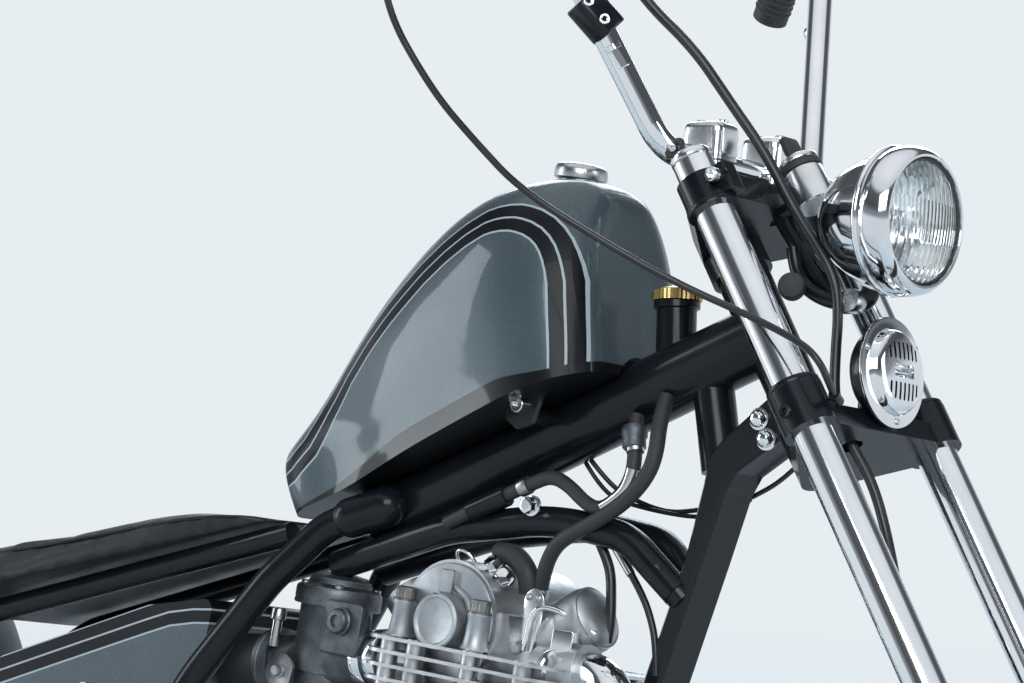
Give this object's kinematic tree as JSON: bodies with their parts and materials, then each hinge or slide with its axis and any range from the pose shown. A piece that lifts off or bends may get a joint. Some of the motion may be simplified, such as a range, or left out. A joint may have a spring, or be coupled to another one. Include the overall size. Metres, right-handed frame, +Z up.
{
  "type": "motorcycle",
  "caption": "Single-cylinder chopper with a rigid rear frame, raked fork, high handlebar and teardrop tank, leaning on its side stand.",
  "frame": {"origin": "middle of the whole motorcycle's footprint, on the floor, without its free cables", "axes": "+X forward, +Y to the motorcycle's left, +Z up; the motorcycle leans 11 degrees to +Y on its side stand"},
  "size_m": [2.3751, 0.7878, 1.4096],
  "materials": {
    "black_rubber": "black rubber",
    "cable_black": "black cable cover",
    "cap_brass": "turned brass",
    "cast_alloy": "sand-cast alloy, matt",
    "chain_steel": "oiled steel chain",
    "chrome": "polished chrome",
    "fin_alloy": "sand-cast fins",
    "fork_chrome": "hard chrome tube",
    "frame_black": "gloss black enamel",
    "lamp_red": "red lens",
    "lens_glass": "fluted glass",
    "polished_alloy": "polished alloy",
    "seat_leather": "black leather, pleated at the front",
    "steel": "plain steel",
    "tank_paint": "grey metallic paint with thin pinstripes",
    "tyre_rubber": "black tyre rubber"
  },
  "bodies": {
    "frame": {"backbone": "frame_black", "braces": "frame_black", "camshaft_cap": "polished_alloy", "carburettor": "cast_alloy", "chain": "chain_steel", "cradle": "frame_black", "crankcase": "cast_alloy", "cylinder": "fin_alloy", "cylinder_head": "fin_alloy", "downtube": "frame_black", "engine_covers": "polished_alloy", "exhaust": "chrome", "foot_controls": "black_rubber", "foot_levers": "chrome", "frame_bolts": "chrome", "fuel_cap": "polished_alloy", "fuel_tank": "tank_paint", "intake_duct": "black_rubber", "kick_lever": "chrome", "oil_filler_cap": "cap_brass", "oil_hoses": "black_rubber", "output_sprocket": "steel", "pillion_pad": "seat_leather", "rear_axle": "steel", "rear_fender": "tank_paint", "seat": "seat_leather", "seat_tubes": "frame_black", "tail_lamp": "lamp_red", "tail_rails": "frame_black", "tool_box": "tank_paint"},
    "steering": {"lower_clamp": "frame_black", "upper_clamp": "frame_black", "fork_tubes": "fork_chrome", "fork_sliders": "polished_alloy", "front_axle": "steel", "front_brake_plate": "polished_alloy", "handlebar": "chrome", "grips": "black_rubber", "risers": "polished_alloy", "headlight_shell": "chrome", "headlight_glass": "lens_glass", "horn": "chrome", "headlight_bracket": "frame_black", "key_switch": "polished_alloy", "throttle_cable": "cable_black", "brake_cable": "cable_black", "bar_controls": "polished_alloy"},
    "front_wheel": {"front_tyre": "tyre_rubber", "front_rim": "chrome", "front_hub": "polished_alloy"},
    "rear_wheel": {"rear_tyre": "tyre_rubber", "rear_rim": "chrome", "rear_hub": "polished_alloy", "rear_sprocket": "steel"},
    "side_stand": {"side_stand": "frame_black"}
  },
  "joints": [
    {"name": "steering_turn", "type": "hinge", "parent": "frame", "child": "steering", "pos_m": [0.42288, -0.05421, 0.7865], "axis": [-0.6157, 0.1504, 0.7735], "range_deg": [-32, 32]},
    {"name": "front_wheel_spin", "type": "hinge", "parent": "steering", "child": "front_wheel", "pos_m": [0.84062, -0.14073, 0.34136], "axis": [0, 0.9816, -0.1908], "continuous": true},
    {"name": "rear_wheel_spin", "type": "hinge", "parent": "frame", "child": "rear_wheel", "pos_m": [-0.84772, -0.14524, 0.31817], "axis": [0, 0.9816, -0.1908], "continuous": true},
    {"name": "side_stand_fold", "type": "hinge", "parent": "frame", "child": "side_stand", "pos_m": [-0.14772, -0.04938, 0.14049], "axis": [0.2407, 0.6684, 0.7038], "range_deg": [0, 92]}
  ]
}
